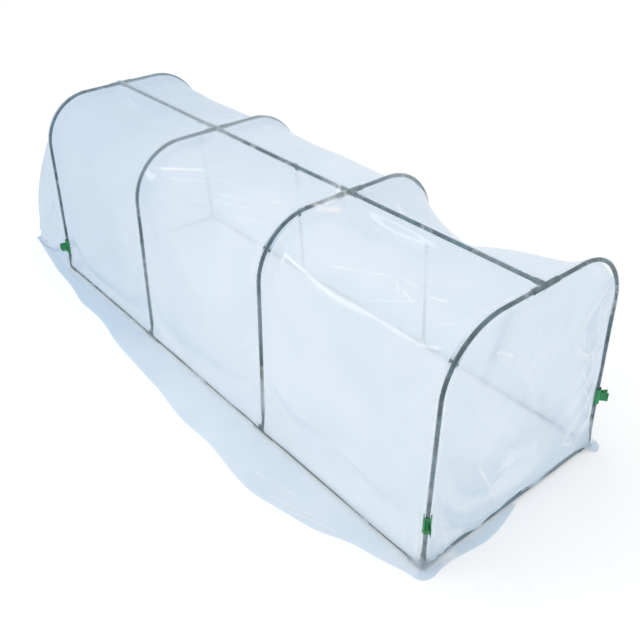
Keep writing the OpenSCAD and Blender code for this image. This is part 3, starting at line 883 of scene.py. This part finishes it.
filmLook = dict(
    tint=colour(0.885, 0.945, 1.0),
    # deeper tint, mixed in by random tone, by doubled film and by painted shade
    deep=colour(0.700, 0.805, 0.905),
    # white of the creases, crumple lines and tube glints: a painted highlight
    crease=colour(0.97, 0.985, 1.0),
    passed=colour(0.972, 0.986, 0.996),     # tint of what shows through
    haze=0.77,              # share of light that it stops, seen square on
    nearTube=0.94,          # how much of the haze goes where the film lies on a tube
    clearFrom=0.0135, clearTo=0.0175,   # that fades out over these distances from a tube's axis
    railFrom=0.0205, railTo=0.0265,     # and over these from a rail's
    farNarrow=0.0095,       # the far rail's clear band is this much narrower
    # painted shade, how much deeper the tint is where less light falls: back, skirts, low front, low far
    # side, and at most
    paintedShadeBack=0.95, paintedShadeSkirt=0.25, paintedShadeFront=0.75, paintedShadeFar=0.30, deepest=0.95,
    softScale=2.6, clingScale=12, facetScale=15.0,
    lineCover=0.6,          # how much of what is behind a crease hides
    roughness=0.16,
    forward=0.45,           # share of the stopped light that it scatters on instead of back
    # where the film stands off a tube and hides it: middle, reach, amount
    hazeOver=[((0.774, -0.490, 0.21), 0.085, 0.85), ((-0.197, -0.49, 0.30), 0.20, 0.40),
              ((1.745, -0.495, 0.02), 0.075, 0.60), ((1.745, -0.49, 0.21), 0.05, 0.55),
              ((1.745, -0.48, 0.38), 0.045, 0.45), ((1.745, 0.49, 0.12), 0.05, 0.50),
              ((0.774, -0.11, 1.00), 0.070, 0.95), ((0.66, 0.0, 1.00), 0.06, 0.40),
              ((-0.70, 0.0, 1.00), 0.40, 0.48), ((-0.197, -0.25, 0.98), 0.25, 0.45),
              ((-0.197, 0.20, 1.00), 0.22, 0.62), ((0.774, 0.26, 0.98), 0.16, 0.52),
              ((-1.168, 0.15, 1.00), 0.25, 0.50), ((1.55, 0.0, 1.01), 0.10, 0.25),
              ((1.745, -0.48, 0.55), 0.10, 0.25), ((0.774, -0.47, 0.60), 0.16, 0.20)],
    # where the front panel is folded double and looks deeper, partly the doubled film's own tone and partly
    # painted shade in its folds: ends (y, z), reach, amount
    doubledAndShaded=[((0.410, 0.860), (0.330, 0.710), 0.034, 0.60), ((0.330, 0.710), (0.362, 0.540), 0.038, 0.50),
             ((0.362, 0.540), (0.435, 0.200), 0.028, 0.55), ((-0.170, 0.960), (-0.235, 0.820), 0.036, 0.45),
             ((0.140, 0.860), (0.160, 0.650), 0.030, 0.35), ((0.160, 0.650), (0.090, 0.470), 0.030, 0.35)],
    # where it is thin and shows more of what is behind: middle, reach, amount
    thinOver=[((1.745, 0.12, 0.42), 0.30, 0.38), ((1.745, -0.25, 0.70), 0.20, 0.15)],
)


def clearFilm():
    finish = Finish("clear_film")
    crumpleAndGlare = finish.stored("crumpleAndGlare")
    near = 1 - finish.stored("tubeGap").rise(filmLook["clearFrom"], filmLook["clearTo"])
    byRail = 1 - finish.stored("railGap").rise(filmLook["railFrom"], filmLook["railTo"])
    near = near.atLeast(byRail) * (1 - finish.stored("standsOff"))
    soft = finish.noise(filmLook["softScale"], 2, 0.5)
    cling = finish.noise(filmLook["clingScale"], 2, 0.6)
    facets = finish.node("ShaderNodeTexVoronoi", {"feature": "DISTANCE_TO_EDGE"}, {
        "Vector": finish.place((1, 1, 0.7)), "Scale": filmLook["facetScale"]})
    # painted glare along the edges of the crumple facets
    facetGlare = crumpleAndGlare * soft.rise(0.35, 0.62)
    paintedHighlight = (1 - facets.rise(0.0, 0.05)) * facetGlare * 0.4
    # creases: a painted white highlight each, with a little bump
    creaseAndGlare = 0
    for name in creaseNames:
        off = abs(finish.stored(name + "Off"))
        creaseAndGlare = creaseAndGlare + (1 - off).atLeast(0) ** 1.3 * finish.stored(name + "Mark")
    creaseAndGlare = creaseAndGlare * (0.6 + cling.rise(0.3, 0.6) * 0.5)
    # painted glint: reflection drawn on the film over the tubes
    paintedGlint = near * cling.rise(0.60, 0.72) * 0.4         # pale dashes along the tubes
    paintedHighlight = paintedHighlight + creaseAndGlare + paintedGlint
    clear = near * filmLook["nearTube"] * (1 - cling.rise(0.52, 0.66) * 0.25)
    facing = finish.node("ShaderNodeLayerWeight", None, {"Blend": 0.5}, out=1)
    haze = filmLook["haze"] * (1 - clear) * (1 - finish.stored("thin"))
    through = (1 - haze) ** (1 / (1.06 - facing))
    # painted highlights also hide more of what is behind them
    alpha = 1 - through * (1 - paintedHighlight * filmLook["lineCover"]).atLeast(0.15)
    # painted shade and random tone deepen the tint; painted highlights whiten it
    paintedShadeAndTone = soft.rise(0.3, 0.7) * 0.3 + finish.stored("paintedShadeAndTone")
    base = finish.mixed(paintedShadeAndTone.atMost(1), filmLook["tint"], filmLook["deep"])
    base = finish.mixed(paintedHighlight.atMost(1), base, filmLook["crease"])
    rough = filmLook["roughness"] + (soft - 0.5) * 0.1
    height = facets * crumpleAndGlare * 0.6 + cling * 0.12 + creaseAndGlare * 0.12
    face = finish.node("ShaderNodeBsdfPrincipled", None, {
        "Base Color": base, "Roughness": rough, "IOR": 1.6, "Normal": finish.bump(height, 0.012, 0.5)})
    back = finish.node("ShaderNodeBsdfTranslucent", None, {"Color": base})
    # painted highlights scatter nothing forward, so they read whiter
    milky = finish.node("ShaderNodeMixShader", None, {
        0: filmLook["forward"] * (1 - paintedHighlight.atMost(1)), 1: face, 2: back})
    empty = finish.node("ShaderNodeBsdfTransparent", None, {"Color": filmLook["passed"]})
    sheet = finish.node("ShaderNodeMixShader", None, {0: alpha.atMost(1).atLeast(0.03), 1: empty, 2: milky})
    finish.node("ShaderNodeOutputMaterial", None, {"Surface": sheet})
    return finish.material


def store(mesh, name, values):
    values = np.ascontiguousarray(values, np.float32)
    mesh.attributes.new(name, "FLOAT", "POINT").data.foreach_set("value", values)


# sum of soft spots at each point: middle, reach, amount
def softSpots(points, spots):
    total = np.zeros(len(points))
    for spot, reach, amount in spots:
        total += amount * np.exp(-((points - np.array(spot)) ** 2).sum(1) / reach ** 2)
    return total


cover = makeMesh("clear_cover", points, faces)
# the film is clear where it lies on a tube
tubeGap = fromTubes(points, False)
railGap = np.minimum(fromTubes(points), 0.2) + 0.02 * smooth(0.009, 0.002, points[:, 2])
railGap += filmLook["farNarrow"] * smooth(0.40, 0.45, points[:, 1])
standsOff = softSpots(points, filmLook["hazeOver"])
thin = softSpots(points, filmLook["thinOver"])
# painted shade: deeper tint in the tail and the back bay, on the skirts and low on the front, where less
# light falls
x, y, z = points.T
paintedShadeAndTone = filmLook["paintedShadeBack"] * smooth(0.7, -1.25, x)
paintedShadeAndTone += filmLook["paintedShadeSkirt"] * smooth(0.05, 0.02, z) * smooth(halfWidth, halfWidth + 0.03, np.abs(y))
paintedShadeAndTone += filmLook["paintedShadeFront"] * smooth(frontX, frontX + 0.008, x) * smooth(0.65, 0.15, z)
paintedShadeAndTone += filmLook["paintedShadeFar"] * smooth(0.40, 0.45, y) * smooth(0.16, 0.08, z)
onPanel = smooth(frontX - 0.004, frontX + 0.001, x)
# film folded double on the front panel: its own deeper tone, and painted shade in the folds
for first, last, reach, amount in filmLook["doubledAndShaded"]:
    away = fromLine(points[:, 1:], first, last)
    paintedShadeAndTone += amount * onPanel * np.exp(-(away / reach) ** 2)
store(cover.data, "tubeGap", np.minimum(tubeGap, 0.2))
store(cover.data, "railGap", railGap)
store(cover.data, "thin", thin)
store(cover.data, "standsOff", np.minimum(standsOff, 0.95))
store(cover.data, "paintedShadeAndTone", np.minimum(paintedShadeAndTone, filmLook["deepest"]))
store(cover.data, "crumpleAndGlare", crumpledAndGlare)
creaseNames = []
for i, layer in enumerate(creaseLayers):
    creaseNames.append("crease" + str(i))
    off, mark = creaseMarks(points, layer)
    store(cover.data, creaseNames[i] + "Off", off)
    store(cover.data, creaseNames[i] + "Mark", mark)
cover.data.materials.append(clearFilm())
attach(cover, "root")
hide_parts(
    "cover_vault", "cover_front_end", "cover_back_tail",
    "left_skirt", "right_skirt", "front_skirt")


# floor, light and camera

studio = dict(
    floor=colour(0.93, 0.93, 0.93),
    floorHalf=60, floorDrop=0.0005,
    worldStrength=0.8,
    lift=0.14,              # what camera rays add, so that the lit floor is white
)


def studioFloor():
    finish = Finish("studio_floor")
    plain = finish.node("ShaderNodeBsdfDiffuse", None, {"Color": studio["floor"]})
    glow = finish.node("ShaderNodeEmission", None, {
        "Color": colour(1, 1, 1), "Strength": finish.seen() * studio["lift"]})
    both = finish.node("ShaderNodeAddShader", None, {0: plain, 1: glow})
    finish.node("ShaderNodeOutputMaterial", None, {"Surface": both})
    return finish.material


half = studio["floorHalf"]
floor = makeMesh(
    "studio_floor",
    np.array([(-half, -half, 0), (half, -half, 0), (half, half, 0), (-half, half, 0)], float),
    np.array([[0, 1, 2, 3]]))
floor.location.z = -studio["floorDrop"]
floor.data.materials.append(studioFloor())


def studioSky():
    finish = Finish("studio_sky", bpy.data.worlds.new("studio_sky"))
    strength = finish.seen() * (1 - studio["worldStrength"]) + studio["worldStrength"]
    sky = finish.node("ShaderNodeBackground", None, {"Color": colour(1, 1, 1), "Strength": strength})
    finish.node("ShaderNodeOutputWorld", None, {"Surface": sky})
    return finish.material


scene.world = studioSky()

lamps = dict(
    backStrip=dict(place=(-1.96, 2.26, 2.71), aim=(0.8, -0.09, 1.0), size=(0.35, 0.2), power=0.9),
    sideStrip=dict(place=(-1.6, -3.4, 3.0), aim=(0.3, 0, 0.6), size=(1.8, 0.4), power=18),
    frontStrip=dict(place=(5.0, 1.8, 2.6), aim=(1.2, 0, 0.5), size=(0.4, 1.4), power=10),
)
# broad soft key from the left of the photograph
softKey = dict(towards=(0.35, 0.45, -1.0), strength=0.45, spreadDegrees=70)


def addLight(name, kind, power, place, towards):
    light = bpy.data.lights.new(name, kind)
    light.energy = power
    holder = bpy.data.objects.new(name, light)
    scene.collection.objects.link(holder)
    holder.location = place
    holder.rotation_euler = towards.to_track_quat("-Z", "Y").to_euler()
    return light


for name, lamp in lamps.items():
    light = addLight(name, "AREA", lamp["power"], lamp["place"], Vector(lamp["aim"]) - Vector(lamp["place"]))
    light.shape = "RECTANGLE"
    light.size, light.size_y = lamp["size"]
light = addLight("softKey", "SUN", softKey["strength"], (0, 0, 0), Vector(softKey["towards"]))
light.angle = math.radians(softKey["spreadDegrees"])

photoView = dict(
    azimuth=51.1971, elevation=33.7721, roll=-1.3497,
    across=0.3548, up=-0.0096, away=4.2967,
    lens=44.966, sensor=36,
)
turnTo, tilt, roll = (math.radians(photoView[k]) for k in ("azimuth", "elevation", "roll"))
backWay = Vector((math.sin(turnTo) * math.cos(tilt), -math.cos(turnTo) * math.cos(tilt), math.sin(tilt)))
level = Vector((math.cos(turnTo), math.sin(turnTo), 0))
rightWay = level * math.cos(roll) + backWay.cross(level) * math.sin(roll)
upWay = backWay.cross(rightWay)
spot = backWay * photoView["away"] + rightWay * photoView["across"] + upWay * photoView["up"]
lensData = bpy.data.cameras.new("photo_camera")
lensData.lens = photoView["lens"]
lensData.sensor_width = photoView["sensor"]
lensData.sensor_fit = "HORIZONTAL"
camera = bpy.data.objects.new("photo_camera", lensData)
scene.collection.objects.link(camera)
camera.matrix_world = Matrix((
    (rightWay.x, upWay.x, backWay.x, spot.x),
    (rightWay.y, upWay.y, backWay.y, spot.y),
    (rightWay.z, upWay.z, backWay.z, spot.z),
    (0, 0, 0, 1)))
scene.camera = camera
print("studio set")
